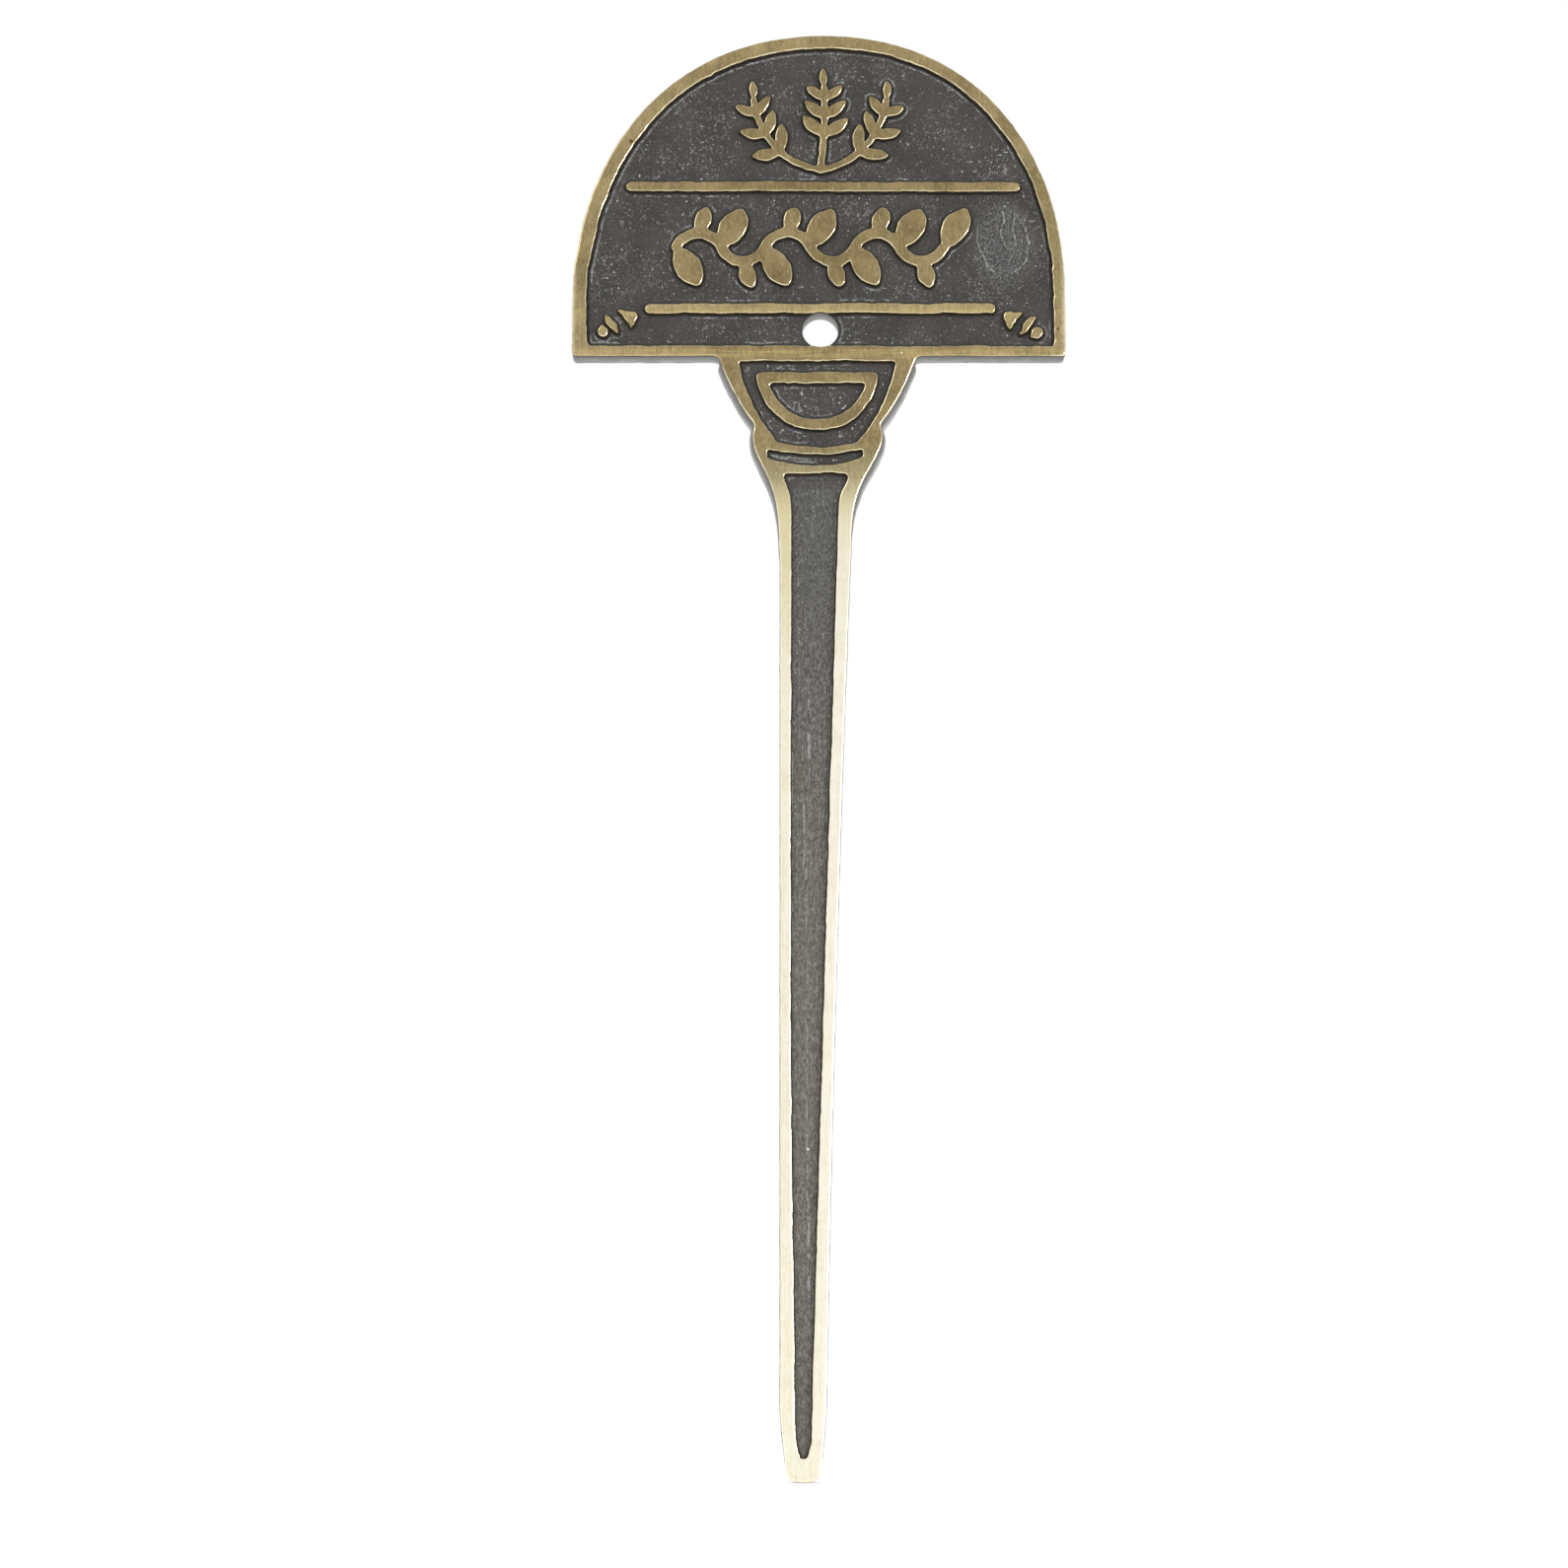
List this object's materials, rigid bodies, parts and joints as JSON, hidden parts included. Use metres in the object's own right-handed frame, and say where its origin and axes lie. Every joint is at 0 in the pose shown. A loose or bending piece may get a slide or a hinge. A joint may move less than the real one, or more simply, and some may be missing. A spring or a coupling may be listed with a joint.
{
  "type": "plant label stake",
  "caption": "Cast brass plant label stake: a half-round head plate with raised rim and dark painted recesses over a cup-shaped neck and a tapering blade for the soil.",
  "frame": {"origin": "at the level of the blade's tip, below the middle of the head and in the middle of the plate's thickness", "axes": "+Z runs from the tip up to the head, +X to the viewer's right, and the face looks along -Y"},
  "size_m": [0.0762, 0.004, 0.2221],
  "materials": {
    "linished_brass": "raised faces linished with a fine grain, side walls and back as cast",
    "dark_paint": "matte charcoal over a pitted sand-cast ground"
  },
  "bodies": {
    "root": {"brass_casting": "linished_brass", "head_field_paint": "dark_paint", "bowl_field_paint": "dark_paint", "ring_field_paint": "dark_paint", "collar_groove_paint": "dark_paint", "blade_channel_paint": "dark_paint"}
  },
  "joints": []
}
